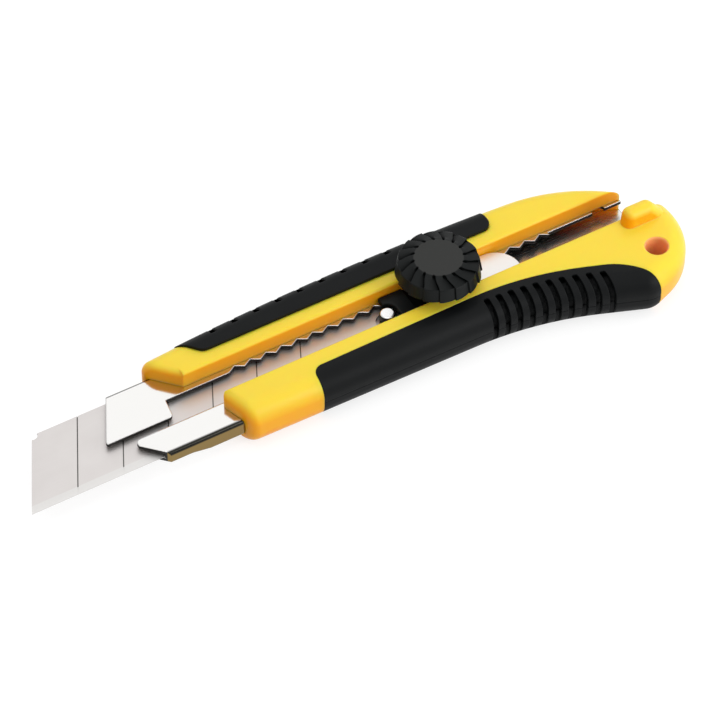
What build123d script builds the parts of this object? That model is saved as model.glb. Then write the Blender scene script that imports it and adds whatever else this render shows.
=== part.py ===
from build123d import *
import os
from math import atan2, cos, degrees, hypot, radians, sin, tan

# Heavy-duty snap-off utility knife with a screw-locked blade slider, in millimetres.
# +X runs from the blade tip to the butt, +Y from the cutting edge to the spine and
# +Z out of the wheel side. The origin is on the hang hole's axis, on the underside.

# Handle moulding
handle_height = 14.8      # underside to the top of the rails
edge_side_y = 0.6         # outer side of the rail on the cutting-edge side, at the heel
edge_taper = 1.4          # that side lies this much further in at the nose
nose_edge_x = -135.2      # front of that rail beside the slot
nose_edge_angle = 18.0    # its front runs back from there at this angle
heel_corner_x = -39.4     # where that side's line and the hooked heel's line would meet
hook_radius = 105.0
hook_angle = 20.6
heel_run = 34.4           # from that corner along the heel's line to the tip's corner
toe_spare = 0.8           # the heel's tip is rounder in plan than its rims by this
toe_angle = 41.5
sole_run = 6.7            # from the tip's corner to the round of the butt
butt_radius = 21.4
butt_angle = 80.5
spine_front_y = 36.1      # outer side of the rail on the spine side: front, middle, tail
spine_mid_y = 39.3
spine_tail_y = 37.9
spine_mid_x = -80.0
spine_tail_x = -28.0
nose_spine_x = -140.9     # front of the spine rail where it meets the slot
nose_spine_angle = 47.0   # its front runs back from the outer corner at this angle
edge_round = 6.0          # rounding along the edge side and the butt
spine_round = 4.5         # rounding along the spine side
nose_round = 3.4          # rounding of the edge rail's front
mouth_round = 1.6         # rounding of its corner beside the slot
spine_nose_round = 2.0    # rounding of the spine rail's front
lip_round = 0.9           # rounding of the slot's top lips
slot_border = 3.6         # rims nearer the slot than this stay square
hang_hole_diameter = 6.6
hang_hole_lead = 0.45     # lead-in chamfer round its top

# Slot between the rails
slot_edge_y = 14.3
slot_spine_y = 25.1

# Wheel stop on the butt
stop_front_x = -4.6
stop_width = 5.2
stop_height = 5.4
stop_lean = 0.8           # its front leans back by this
stop_flat = 8.5           # level part of its top
stop_slope = 4.5          # length of the slope behind it
stop_round = 2.5

# Rubber grips
grip_wall = 2.4           # thickness of the rubber
edge_grip_front_x = -108.9
edge_grip_front_y = 8.9   # inner border of the edge-side grip at its front
edge_grip_bend_y = 9.45   # and where it starts to follow the heel
edge_grip_bend_x = -57.0
edge_grip_bend_radius = 95.0
edge_grip_bend_angle = 21.2
edge_grip_run = 5.5       # straight part along the heel
edge_grip_end_radius = 20.0
edge_grip_corner = 3.2
rib_first_x = -53.3
rib_pitch = 3.8
rib_count = 10
rib_groove_width = 1.8
rib_groove_depth = 1.2
rib_end_round = 0.7
rib_margin = 2.3          # bare border between the grooves and the grip's border
spine_grip_front_x = -137.4
spine_grip_rear_x = -37.0
spine_grip_y = 29.55
spine_grip_slant = 5.4    # how far its inner corner lies behind the outer one
spine_grip_proud = 1.0    # how far it stands above the rail
spine_grip_round = 5.3
spine_grip_corner = 3.0
notch_first_x = -126.0
notch_pitch = 7.2
notch_count = 11
notch_radius = 1.1
notch_length = 2.3
notch_sink = 0.3          # nicks' axes below the rim's surface
notch_slope = 50.0        # how far the rim's rounding has turned up where the nicks are cut

# Blade
blade_width = 25.0
blade_thickness = 0.7
segment_pitch = 14.17
segment_count = 7
segment_angle = 63.0
hole_from_tip = 119.5     # blade tip to the centre of the blade's hole
blade_hole_diameter = 6.6
blade_tail = 9.0          # hole centre to the slanted rear end, along the blade
bevel_width = 2.4
edge_land = 0.06          # thickness left at the cutting edge
score_width = 0.32
score_depth = 0.3
spine_nick = 1.6          # small hollow at the front end of the spine
blade_top_z = 7.6
cutting_edge_y = 6.9

# Folded sheet channel
sheet = 1.1
channel_play = 0.27       # beside the blade
flange_gap = 0.7          # above the blade
channel_depth = 2.1       # blade top to the floor inside the body
nose_depth = 0.9          # blade top to the floor inside the nose
channel_rear_x = 3.6
tail_cut_x = -14.5        # the channel's rear corner is cut off from here
tail_cut_y = 24.7         # to here at its rear end, inside the tapering rail
nose_step_x = -148.7      # floor starts to drop
body_step_x = -142.9      # floor has dropped
fold_round = 1.4
pocket_play = 0.05
flange_edge_y = 14.4      # inner edge of the flange on the cutting-edge side
nose_wall_x = -155.4      # front end of the wall on the cutting-edge side
nose_lip_x = -161.8
nose_lip_y = 12.2
nose_tip_x = -169.6
nose_tip_y = 17.0
nose_shoulder_x = -161.2
nose_corner = 1.6
tongue_rear_x = -148.5
tongue_lean = 1.0         # the rear end of the tongue leans back by this
flange_corner = 1.3

# Rack along the spine-side flange
rack_pitch = 5.04
rack_notches = 21
rack_tip_y = 23.3
rack_height = 1.5
rear_edge_y = 24.2        # straight edge behind the rack
rear_notch_x = -4.1
rear_notch_radius = 2.1

# Slider
axis_y = 19.2             # wheel and blade pin lie on this line
wheel_x = -61.6
pin_lead = 16.7           # blade pin ahead of the wheel axis
pin_radius = 2.28
pin_rivet_radius = 1.7
pin_top_z = 11.2
pin_dome = 0.6
carrier_thickness = 1.2
carrier_front = 13.2      # ahead of the pin
carrier_rear = 11.5       # behind the wheel axis
carrier_play = 0.5        # to the channel walls
carrier_corner = 3.0
carrier_slant_x = 9.5     # cut-off rear corner on the spine side
carrier_slant_y = 5.2
stud_radius = 2.5
stud_square = 4.6
stud_collar_radius = 3.4
stud_collar_height = 1.0
stud_length = 13.6        # carrier top to the end of the thread
stud_chamfer = 0.6

# Lock plate with its toothed dog and guide
plate_thickness = 0.8
plate_clearance_z = 0.95  # plate underside above the flange when loose
plate_play = 0.35         # to the slot walls
plate_rear_x = -35.8
plate_rear_round = 7.5    # rear corner on the spine side
plate_corner = 1.2        # rear corner on the cutting-edge side
pin_gap = 0.75            # dog to the blade pin
dog_teeth = 2
dog_lead = 15.3           # dog's first tooth ahead of the wheel axis
dog_front_land = 1.3      # dog's front ahead of that tooth
dog_wall = 4.6            # thickness of its head behind the pin
dog_head_proud = 0.6      # how far the head stands above the plate
dog_head_round = 0.5
notch_count_ahead = 10    # rack notches ahead of the dog's first tooth
dog_tooth_gap = 0.2       # tooth underside above the flange when loose
dog_mesh_gap = 0.35       # tooth tip to notch root when locked
dog_rear_land = 0.6
guide_depth = 1.6         # guides reach this far below the plate
guide_play = 0.25
guide_front = 5.6         # behind the wheel axis
guide_length = 13.0
guide_peg_radius = 1.2
guide_peg_back = 3.0
guide_peg_proud = 0.5
guide_corner = 0.8

# Wheel
wheel_radius = 12.5
wheel_bottom_z = 19.45
wheel_shoulder_radius = 11.8
wheel_shoulder_z = 23.8
wheel_disc_radius = 7.2
wheel_top_z = 25.3
wheel_lobes = 16
lobe_start = 15.0         # angle of one lobe's front from +X
lobe_step = 0.5           # each lobe's rim falls away by this to the next one
lobe_mid_fall = 0.12      # and by this half-way
lobe_groove_radius = 0.45
lobe_groove_swirl = 12.7  # grooves between the lobes lean from the radius by this angle
hub_radius = 6.5          # above the rails
hub_neck_radius = 4.5     # between the rails
hub_rail_gap = 1.2        # wide part of the hub above the rails when loose
washer_thickness = 0.8
washer_radius = 4.5
nut_body_radius = 3.7
nut_neck_radius = 3.2
nut_flange_radius = 3.8
nut_flange_thickness = 0.6
nut_flange_gap = 0.1
nut_crown = 1.8           # plastic left over the nut
run_gap = 0.05            # running and push fits, radial
stud_end_gap = 1.6        # stud end to the bottom of the nut's blind bore

# Levels and places that follow from the sizes above
blade_bottom_z = blade_top_z - blade_thickness
flange_bottom_z = blade_top_z + flange_gap
flange_top_z = flange_bottom_z + sheet
floor_z = blade_top_z - channel_depth
nose_floor_z = blade_top_z - nose_depth
channel_bottom_z = floor_z - sheet
pin_x = wheel_x - pin_lead
tip_x = pin_x - hole_from_tip
spine_y = cutting_edge_y + blade_width
wall_edge_y = cutting_edge_y - channel_play
wall_spine_y = spine_y + channel_play
channel_edge_y = wall_edge_y - sheet
channel_spine_y = wall_spine_y + sheet
carrier_bottom_z = blade_bottom_z - carrier_thickness
plate_bottom_z = flange_top_z + plate_clearance_z
plate_top_z = plate_bottom_z + plate_thickness
hub_bottom_z = plate_top_z + washer_thickness
rack_root_y = rack_tip_y + rack_height
tooth_x = wheel_x - dog_lead
dog_front_x = tooth_x - dog_front_land
dog_rear_x = tooth_x + dog_teeth * rack_pitch + dog_rear_land
rack_first_x = tooth_x - notch_count_ahead * rack_pitch
rack_last_x = rack_first_x + rack_notches * rack_pitch
nut_top_z = wheel_top_z - nut_crown
score_run = blade_width / tan(radians(segment_angle))
nose_spine_run = 1 / tan(radians(nose_spine_angle))
nose_edge_run = tan(radians(nose_edge_angle))
edge_nose_y = edge_side_y + edge_taper
nose_side_x = nose_edge_x + (slot_edge_y - edge_nose_y) * nose_edge_run
side_angle = degrees(atan2(edge_taper, heel_corner_x - nose_side_x))
toe_radius = edge_round + toe_spare
hook_tangent = hook_radius * tan(radians(hook_angle / 2))
toe_tangent = toe_radius * tan(radians(toe_angle / 2))
side_length = hypot(edge_taper, heel_corner_x - nose_side_x) - hook_tangent
heel_length = heel_run - hook_tangent - toe_tangent
sole_length = sole_run - toe_tangent
beyond = 4 * handle_height   # overshoot of cuts that run right through


def notch_x(index):
    """Middle of one notch of the rack."""
    return rack_first_x + (index + 0.5) * rack_pitch


os.makedirs("parts", exist_ok=True)


def edge_outline(inset):
    """Draw the edge side, heel and butt, moved in from the outer face; return both ends."""
    along = Vector(1, 0).rotate(Axis.Z, -side_angle)
    across = along.rotate(Axis.Z, 90)
    start = Vector(nose_side_x, edge_nose_y) + (along + across) * inset
    side = Line(start, start + along * (side_length - inset))
    hook = JernArc(side @ 1, side % 1, hook_radius + inset, -hook_angle)
    heel = Line(hook @ 1, hook @ 1 + (hook % 1) * heel_length)
    toe = JernArc(heel @ 1, heel % 1, toe_radius - inset, toe_angle)
    sole = Line(toe @ 1, toe @ 1 + (toe % 1) * sole_length)
    butt = JernArc(sole @ 1, sole % 1, butt_radius - inset, butt_angle)
    return side @ 0, butt @ 1


# Plan of the whole handle without its slot
nose_outer_x = nose_spine_x - (spine_front_y - slot_spine_y) * nose_spine_run
with BuildSketch() as handle_plan:
    with BuildLine():
        nose_corner_point, butt_end = edge_outline(0)
        spine_side = ThreePointArc(
            (nose_outer_x, spine_front_y),
            (spine_mid_x, spine_mid_y),
            (spine_tail_x, spine_tail_y),
        )
        tail = TangentArc(spine_side @ 1, (channel_rear_x, slot_spine_y), tangent=spine_side % 1)
        Polyline(butt_end, (channel_rear_x, slot_edge_y), tail @ 1)
        Polyline(
            spine_side @ 0,
            (nose_spine_x, slot_spine_y),
            (nose_spine_x, slot_edge_y),
            (nose_edge_x, slot_edge_y),
            nose_corner_point,
        )
    make_face()


def on_edge_side(edge):
    """True along the edge side, the heel and the butt."""
    middle = edge.center()
    return middle.Y < slot_edge_y - slot_border and middle.X > edge_grip_front_x


def on_spine_side(edge):
    """True along the spine side and its tail."""
    middle = edge.center()
    return middle.Y > slot_spine_y + slot_border and middle.X > nose_spine_x


def on_edge_nose(edge):
    """True round the front of the edge rail."""
    middle = edge.center()
    front_x = nose_edge_x + (slot_edge_y - middle.Y) * nose_edge_run
    return abs(middle.X - front_x) < lip_round and middle.Y < slot_edge_y - lip_round


def on_spine_nose(edge):
    """True round the slanted front of the spine rail."""
    middle = edge.center()
    front_x = nose_spine_x - (middle.Y - slot_spine_y) * nose_spine_run
    return abs(middle.X - front_x) < lip_round and middle.Y > slot_spine_y + lip_round


# Rounded handle without its slot, which the body and the grips are cut from
with BuildPart() as blank:
    extrude(handle_plan.sketch, amount=handle_height)
    fillet(blank.edges().filter_by(Plane.XY).filter_by(on_edge_side), edge_round)
    fillet(blank.edges().filter_by(Plane.XY).filter_by(on_spine_side), spine_round)
    fillet(blank.edges().filter_by(on_edge_nose), nose_round)
    fillet(blank.edges().filter_by(on_spine_nose), spine_nose_round)

# The edge side one groove depth further in, where the rib grooves bottom out. It runs straight
# down, so the grooves run out below the middle of the side.
with BuildSketch() as groove_plan:
    with BuildLine():
        groove_start, groove_end = edge_outline(rib_groove_depth)
        Polyline(groove_end, (groove_start.X, groove_end.Y), groove_start)
    make_face()
with BuildPart() as groove_floor:
    extrude(groove_plan.sketch, amount=handle_height - rib_groove_depth)
    rims = groove_floor.edges().filter_by(Plane.XY).filter_by(on_edge_side)
    fillet(rims.group_by(Axis.Z)[-1], edge_round - rib_groove_depth)

# Core of the body that both grips wrap round
with BuildSketch(Plane.XY.offset(grip_wall)) as core_plan:
    add(handle_plan.sketch)
    offset(amount=-grip_wall, kind=Kind.INTERSECTION, mode=Mode.REPLACE)
with BuildPart() as grip_core:
    extrude(core_plan.sketch, amount=handle_height - 2 * grip_wall)
    fillet(grip_core.edges().filter_by(Plane.XY).filter_by(on_edge_side), edge_round - grip_wall)
    fillet(grip_core.edges().filter_by(Plane.XY).filter_by(on_spine_side), spine_round - grip_wall)

# Border of the edge-side grip, followed down past the handle's side
with BuildSketch() as edge_grip_plan:
    with BuildLine():
        border = Line((edge_grip_front_x, edge_grip_front_y), (edge_grip_bend_x, edge_grip_bend_y))
        bend = JernArc(border @ 1, border % 1, edge_grip_bend_radius, -edge_grip_bend_angle)
        run = Line(bend @ 1, bend @ 1 + (bend % 1) * edge_grip_run)
        end_turn = 90 + degrees(atan2((run % 1).Y, (run % 1).X))
        end_bend = JernArc(run @ 1, run % 1, edge_grip_end_radius, -end_turn)
        below_y = (end_bend @ 1).Y - beyond
        Polyline(end_bend @ 1, ((end_bend @ 1).X, below_y), (edge_grip_front_x, below_y), border @ 0)
    make_face()
    front_corner = edge_grip_plan.vertices().group_by(Axis.X)[0].sort_by(Axis.Y)[-1]
    fillet(front_corner, edge_grip_corner)

with BuildPart() as edge_grip_block:
    extrude(edge_grip_plan.sketch, amount=handle_height)
    add(blank.part, mode=Mode.INTERSECT)
    add(grip_core.part, mode=Mode.SUBTRACT)

# Cross grooves of the edge-side grip, kept clear of its border
with BuildSketch() as rib_zone:
    add(edge_grip_plan.sketch)
    offset(amount=-rib_margin - rib_end_round, mode=Mode.REPLACE)
with BuildSketch() as rib_plan:
    with Locations(*[(rib_first_x + i * rib_pitch, 0) for i in range(rib_count)]):
        Rectangle(rib_groove_width - 2 * rib_end_round, 2 * beyond)
    add(rib_zone.sketch, mode=Mode.INTERSECT)
    offset(amount=rib_end_round, mode=Mode.REPLACE)
with BuildPart() as rib_grooves:
    extrude(rib_plan.sketch, amount=handle_height)
    add(groove_floor.part, mode=Mode.SUBTRACT)

with BuildPart() as edge_grip:
    add(edge_grip_block.part)
    add(rib_grooves.part, mode=Mode.SUBTRACT)

# Spine-side grip, standing proud of the rail, with nicks along its outer rim
grip_top_z = handle_height + spine_grip_proud
with BuildPart() as raised_blank:
    extrude(handle_plan.sketch, amount=grip_top_z)
    for level, radius in ((0, spine_round), (-1, spine_grip_round)):
        rims = raised_blank.edges().filter_by(Plane.XY).filter_by(on_spine_side)
        fillet(rims.group_by(Axis.Z)[level], radius)
with BuildSketch() as spine_grip_plan:
    with BuildLine():
        Polyline(
            (spine_grip_front_x + spine_grip_slant, spine_grip_y),
            (spine_grip_rear_x, spine_grip_y),
            (spine_grip_rear_x, spine_mid_y + beyond),
            (spine_grip_front_x, spine_mid_y + beyond),
            (spine_grip_front_x, spine_front_y),
            close=True,
        )
    make_face()
    fillet(spine_grip_plan.vertices().group_by(Axis.Y)[0], spine_grip_corner)
with BuildPart() as spine_grip_room:
    extrude(spine_grip_plan.sketch, amount=grip_top_z)
    add(grip_core.part, mode=Mode.SUBTRACT)
with BuildPart() as spine_grip:
    add(spine_grip_room.part)
    add(raised_blank.part, mode=Mode.INTERSECT)
    for i in range(notch_count):
        share = (notch_first_x + i * notch_pitch - nose_outer_x) / (spine_tail_x - nose_outer_x)
        rim = spine_side @ share
        reach = Vector(0, spine_grip_round - notch_sink).rotate(Axis.X, notch_slope)
        nick_y = rim.Y - spine_grip_round + reach.Y
        nick_z = grip_top_z - spine_grip_round + reach.Z
        with Locations((rim.X, nick_y, nick_z)):
            Cylinder(notch_radius, 2 * notch_length, rotation=(notch_slope, 0, 0), mode=Mode.SUBTRACT)

# Room for the folded channel inside the body
with BuildPart() as channel_pocket:
    with BuildSketch(Plane.XY.offset(channel_bottom_z - pocket_play)) as pocket_plan:
        with BuildLine():
            Polyline(
                (nose_tip_x, channel_edge_y - pocket_play),
                (channel_rear_x, channel_edge_y - pocket_play),
                (channel_rear_x, tail_cut_y + pocket_play),
                (tail_cut_x, channel_spine_y + pocket_play),
                (nose_tip_x, channel_spine_y + pocket_play),
                close=True,
            )
        make_face()
    extrude(pocket_plan.sketch, amount=flange_top_z - channel_bottom_z + 2 * pocket_play)
    pocket_folds = channel_pocket.edges().filter_by(Axis.X).group_by(Axis.Z)[-1]
    fillet(pocket_folds, fold_round + pocket_play)

# Handle body: slotted for the channel, relieved for the grips, with the wheel stop
with BuildPart() as handle_body:
    add(blank.part)
    add(edge_grip_block.part, mode=Mode.SUBTRACT)
    add(spine_grip_room.part, mode=Mode.SUBTRACT)
    add(channel_pocket.part, mode=Mode.SUBTRACT)
    lip_z = handle_height - lip_round
    with BuildSketch(Plane.YZ.offset(channel_rear_x)) as slot_profile:
        with BuildLine():
            edge_lip = JernArc((slot_edge_y, lip_z), (0, 1), lip_round, 90)
            spine_lip = JernArc((slot_spine_y, lip_z), (0, 1), lip_round, -90)
            Polyline(
                edge_lip @ 1,
                (slot_edge_y - lip_round, grip_top_z),
                (slot_spine_y + lip_round, grip_top_z),
                spine_lip @ 1,
            )
            Polyline(edge_lip @ 0, (slot_edge_y, floor_z), (slot_spine_y, floor_z), spine_lip @ 0)
        make_face()
    extrude(slot_profile.sketch, amount=nose_tip_x - channel_rear_x, mode=Mode.SUBTRACT)
    with BuildSketch(Plane.XY.offset(floor_z)) as mouth_corner:
        mouth_turn = 90 + nose_edge_angle
        mouth_reach = mouth_round * tan(radians(mouth_turn / 2))
        with BuildLine():
            mouth = JernArc((nose_edge_x + mouth_reach, slot_edge_y), (-1, 0), mouth_round, mouth_turn)
            Polyline(mouth @ 1, (nose_edge_x, slot_edge_y), mouth @ 0)
        make_face()
    extrude(mouth_corner.sketch, amount=beyond, mode=Mode.SUBTRACT)
    stop_rear_x = stop_front_x + stop_lean + stop_flat + stop_slope
    with BuildSketch(Plane.XZ.offset(-slot_edge_y)) as stop_profile:
        with BuildLine():
            Polyline(
                (stop_front_x, lip_z - lip_round),
                (stop_front_x + stop_lean, handle_height + stop_height),
                (stop_front_x + stop_lean + stop_flat, handle_height + stop_height),
                (stop_rear_x, handle_height),
                (stop_rear_x, lip_z - lip_round),
                close=True,
            )
        make_face()
    extrude(stop_profile.sketch, amount=stop_width)
    stop_top = handle_body.edges().filter_by(lambda e: e.center().Z > handle_height + stop_height / 4)
    fillet(stop_top, stop_round)
    hang_radius = hang_hole_diameter / 2
    Cylinder(hang_radius, 2 * beyond, mode=Mode.SUBTRACT)
    with Locations((0, 0, handle_height)):
        Cone(hang_radius, hang_radius + hang_hole_lead, hang_hole_lead,
             align=(Align.CENTER, Align.CENTER, Align.MAX), mode=Mode.SUBTRACT)

# Blade channel: folded steel sheet whose spine-side flange carries the rack
with BuildPart() as blade_channel:
    with BuildSketch(Plane.XZ.offset(-channel_spine_y)) as outer_side:
        with BuildLine():
            Polyline(
                (nose_tip_x, nose_floor_z - sheet),
                (nose_step_x, nose_floor_z - sheet),
                (body_step_x, channel_bottom_z),
                (channel_rear_x, channel_bottom_z),
                (channel_rear_x, flange_top_z),
                (nose_tip_x, flange_top_z),
                close=True,
            )
        make_face()
    extrude(outer_side.sketch, amount=channel_spine_y - channel_edge_y)
    folds = blade_channel.edges().filter_by(Axis.X).group_by(Axis.Z)[-1]
    fillet(folds, fold_round)
    with BuildSketch(Plane.XZ.offset(-wall_spine_y)) as inner_side:
        with BuildLine():
            Polyline(
                (nose_tip_x - beyond, nose_floor_z),
                (nose_step_x, nose_floor_z),
                (body_step_x, floor_z),
                (channel_rear_x + beyond, floor_z),
                (channel_rear_x + beyond, flange_bottom_z),
                (nose_tip_x - beyond, flange_bottom_z),
                close=True,
            )
        make_face()
    extrude(inner_side.sketch, amount=wall_spine_y - wall_edge_y, mode=Mode.SUBTRACT)
    zigzag = []
    for i in range(rack_notches):
        zigzag.append((rack_first_x + i * rack_pitch, rack_tip_y))
        zigzag.append((notch_x(i), rack_root_y))
    with BuildSketch(Plane.XY.offset(blade_top_z)) as opening:
        with BuildLine():
            Polyline(
                (channel_rear_x + beyond, flange_edge_y),
                (nose_lip_x, flange_edge_y),
                (nose_lip_x, channel_edge_y - beyond),
                (nose_tip_x - beyond, channel_edge_y - beyond),
                (nose_tip_x - beyond, nose_tip_y),
                (tongue_rear_x, nose_tip_y),
                (tongue_rear_x + tongue_lean, rack_tip_y),
                *zigzag,
                (rack_last_x, rack_tip_y),
                (rack_last_x, rear_edge_y),
                (channel_rear_x + beyond, rear_edge_y),
                close=True,
            )
        make_face()
        corners = opening.vertices().filter_by(
            lambda v: (v.X, v.Y) in [(nose_lip_x, flange_edge_y), (tongue_rear_x, nose_tip_y)]
        )
        fillet(corners, flange_corner)
        with Locations((rear_notch_x, rear_edge_y)):
            Circle(rear_notch_radius)
    extrude(opening.sketch, amount=beyond, mode=Mode.SUBTRACT)
    with BuildSketch() as nose_plan:
        with BuildLine():
            Polyline(
                (channel_rear_x, channel_edge_y),
                (nose_wall_x, channel_edge_y),
                (nose_lip_x, nose_lip_y),
                (nose_tip_x, nose_tip_y),
                (nose_shoulder_x, channel_spine_y),
                (tail_cut_x, channel_spine_y),
                (channel_rear_x, tail_cut_y),
                close=True,
            )
        make_face()
        fillet(nose_plan.vertices().group_by(Axis.X)[0], nose_corner)
        shoulder = nose_plan.vertices().group_by(Axis.Y)[-1].sort_by(Axis.X)[0]
        fillet(shoulder, nose_corner)
    extrude(nose_plan.sketch, amount=beyond, mode=Mode.INTERSECT)

# Blade: seven segments parted by score lines, ground on both sides
with BuildPart() as blade:
    tail_x = pin_x + blade_tail - score_run * (axis_y - cutting_edge_y) / blade_width
    with BuildSketch(Plane.XY.offset(blade_bottom_z)) as blade_plan:
        with BuildLine():
            Polyline(
                (tip_x, cutting_edge_y),
                (tail_x, cutting_edge_y),
                (tail_x + score_run, spine_y),
                (tip_x + score_run, spine_y),
                close=True,
            )
        make_face()
        with Locations((tip_x + score_run, spine_y)):
            Circle(spine_nick, mode=Mode.SUBTRACT)
        with Locations((pin_x, axis_y)):
            Circle(blade_hole_diameter / 2, mode=Mode.SUBTRACT)
    extrude(blade_plan.sketch, amount=blade_thickness)
    middle_z = blade_bottom_z + blade_thickness / 2
    with BuildSketch(Plane.YZ.offset(tip_x)) as bevels:
        for face_z, land_z in (
            (blade_top_z, middle_z + edge_land / 2),
            (blade_bottom_z, middle_z - edge_land / 2),
        ):
            with BuildLine():
                Polyline(
                    (cutting_edge_y, face_z),
                    (cutting_edge_y + bevel_width, face_z),
                    (cutting_edge_y, land_z),
                    close=True,
                )
            make_face()
    extrude(bevels.sketch, amount=tail_x + score_run - tip_x, mode=Mode.SUBTRACT)
    with BuildSketch(Plane.XY.offset(blade_top_z)) as scores:
        score_x = tip_x + score_run / 2
        with Locations(*[(score_x + i * segment_pitch, cutting_edge_y + blade_width / 2)
                         for i in range(1, segment_count)]):
            Rectangle(2 * blade_width, score_width, rotation=segment_angle)
    extrude(scores.sketch, amount=-score_depth, mode=Mode.SUBTRACT)

# Carrier plate under the blade
with BuildPart() as carrier_plate:
    with BuildSketch(Plane.XY.offset(carrier_bottom_z)) as carrier_plan:
        with BuildLine():
            Polyline(
                (pin_x - carrier_front, wall_edge_y + carrier_play),
                (wheel_x + carrier_rear, wall_edge_y + carrier_play),
                (wheel_x + carrier_rear, wall_spine_y - carrier_play - carrier_slant_y),
                (wheel_x + carrier_rear - carrier_slant_x, wall_spine_y - carrier_play),
                (pin_x - carrier_front, wall_spine_y - carrier_play),
                close=True,
            )
        make_face()
        fillet(carrier_plan.vertices(), carrier_corner)
        with Locations((pin_x, axis_y)):
            Circle(pin_rivet_radius, mode=Mode.SUBTRACT)
        with Locations((wheel_x, axis_y)):
            Rectangle(stud_square, stud_square, mode=Mode.SUBTRACT)
    extrude(carrier_plan.sketch, amount=carrier_thickness)

# Pin riveted into the carrier, which drives the blade by its hole
with BuildPart() as blade_pin:
    with BuildSketch(Plane.XY.offset(carrier_bottom_z)) as rivet_plan:
        with Locations((pin_x, axis_y)):
            Circle(pin_rivet_radius)
    extrude(rivet_plan.sketch, amount=carrier_thickness)
    with BuildSketch(Plane.XY.offset(blade_bottom_z)) as pin_plan:
        with Locations((pin_x, axis_y)):
            Circle(pin_radius)
    extrude(pin_plan.sketch, amount=pin_top_z - blade_bottom_z)
    fillet(blade_pin.edges().group_by(Axis.Z)[-1], pin_dome)

# Threaded stud standing on the carrier, held against turning by its square foot
with BuildPart() as clamp_stud:
    with BuildSketch(Plane.XY.offset(carrier_bottom_z)) as foot_plan:
        with Locations((wheel_x, axis_y)):
            Rectangle(stud_square, stud_square)
    extrude(foot_plan.sketch, amount=carrier_thickness)
    with BuildSketch(Plane.XY.offset(blade_bottom_z)) as collar_plan:
        with Locations((wheel_x, axis_y)):
            Circle(stud_collar_radius)
    extrude(collar_plan.sketch, amount=stud_collar_height)
    with BuildSketch(Plane.XY.offset(blade_bottom_z)) as thread_plan:
        with Locations((wheel_x, axis_y)):
            Circle(stud_radius)
    extrude(thread_plan.sketch, amount=stud_length)
    chamfer(clamp_stud.edges().group_by(Axis.Z)[-1], stud_chamfer)

# Lock plate in the slot above the flanges, carried by the wheel's nut
pin_clear = pin_radius + pin_gap
head_rear_x = pin_x + pin_clear + dog_wall
plate_edge_y = slot_edge_y + plate_play
plate_spine_y = slot_spine_y - plate_play
guide_front_x = wheel_x + guide_front
peg_x = guide_front_x + guide_peg_back
with BuildPart() as lock_plate:
    with BuildSketch(Plane.XY.offset(plate_bottom_z)) as plate_plan:
        with BuildLine():
            Polyline(
                (head_rear_x, plate_edge_y),
                (plate_rear_x, plate_edge_y),
                (plate_rear_x, plate_spine_y),
                (head_rear_x, plate_spine_y),
                close=True,
            )
        make_face()
        for side, radius in ((0, plate_corner), (-1, plate_rear_round)):
            fillet(plate_plan.vertices().group_by(Axis.X)[-1].sort_by(Axis.Y)[side], radius)
        with Locations((wheel_x, axis_y)):
            Circle(nut_neck_radius + run_gap, mode=Mode.SUBTRACT)
        with Locations((peg_x, axis_y)):
            Circle(guide_peg_radius, mode=Mode.SUBTRACT)
    extrude(plate_plan.sketch, amount=plate_thickness)

# Toothed dog under the plate's front, which drops into the rack's notches, with a head in front
# of the plate that reaches round the pin
with BuildSketch() as pin_room:
    with BuildLine():
        rear_arc = CenterArc((pin_x, axis_y), pin_clear, 0, 90)
        Polyline(
            rear_arc @ 1,
            (dog_front_x - beyond, axis_y + pin_clear),
            (dog_front_x - beyond, slot_edge_y),
            (pin_x + pin_clear, slot_edge_y),
            rear_arc @ 0,
        )
    make_face()
with BuildPart() as rack_dog:
    tooth_base_y = rack_tip_y - dog_mesh_gap
    teeth = []
    for i in range(dog_teeth):
        teeth.append((tooth_x + i * rack_pitch, tooth_base_y))
        teeth.append((notch_x(notch_count_ahead + i), rack_root_y - dog_mesh_gap))
    dog_bottom_z = flange_top_z + dog_tooth_gap
    with BuildSketch(Plane.XY.offset(dog_bottom_z)) as dog_plan:
        with BuildLine():
            Polyline(
                (dog_front_x, tooth_base_y),
                *teeth,
                (tooth_x + dog_teeth * rack_pitch, tooth_base_y),
                (dog_rear_x, tooth_base_y),
                (dog_rear_x, axis_y),
                (dog_front_x, axis_y),
                close=True,
            )
        make_face()
        add(pin_room.sketch, mode=Mode.SUBTRACT)
    extrude(dog_plan.sketch, amount=plate_bottom_z - dog_bottom_z)
    with BuildSketch(Plane.XY.offset(plate_bottom_z)) as head_plan:
        with BuildLine():
            Polyline(
                (dog_front_x, plate_edge_y),
                (head_rear_x, plate_edge_y),
                (head_rear_x, plate_spine_y),
                (dog_front_x, plate_spine_y),
                close=True,
            )
        make_face()
        add(pin_room.sketch, mode=Mode.SUBTRACT)
    extrude(head_plan.sketch, amount=plate_thickness + dog_head_proud)
    head_rims = rack_dog.edges().group_by(Axis.Z)[-1]
    fillet(head_rims.filter_by(lambda e: e.center().X < pin_x + pin_clear), dog_head_round)

# Guide shoe under the plate's rear, which keeps the plate square between the flanges
with BuildPart() as guide_shoe:
    with BuildSketch(Plane.XY.offset(plate_bottom_z - guide_depth)) as shoe_plan:
        with BuildLine():
            Polyline(
                (guide_front_x, flange_edge_y + guide_play),
                (guide_front_x + guide_length, flange_edge_y + guide_play),
                (guide_front_x + guide_length, rack_tip_y - guide_play),
                (guide_front_x, rack_tip_y - guide_play),
                close=True,
            )
        make_face()
        fillet(shoe_plan.vertices(), guide_corner)
    extrude(shoe_plan.sketch, amount=guide_depth)
    with BuildSketch(Plane.XY.offset(plate_bottom_z)) as peg_plan:
        with Locations((peg_x, axis_y)):
            Circle(guide_peg_radius)
    extrude(peg_plan.sketch, amount=plate_thickness + guide_peg_proud)

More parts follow.
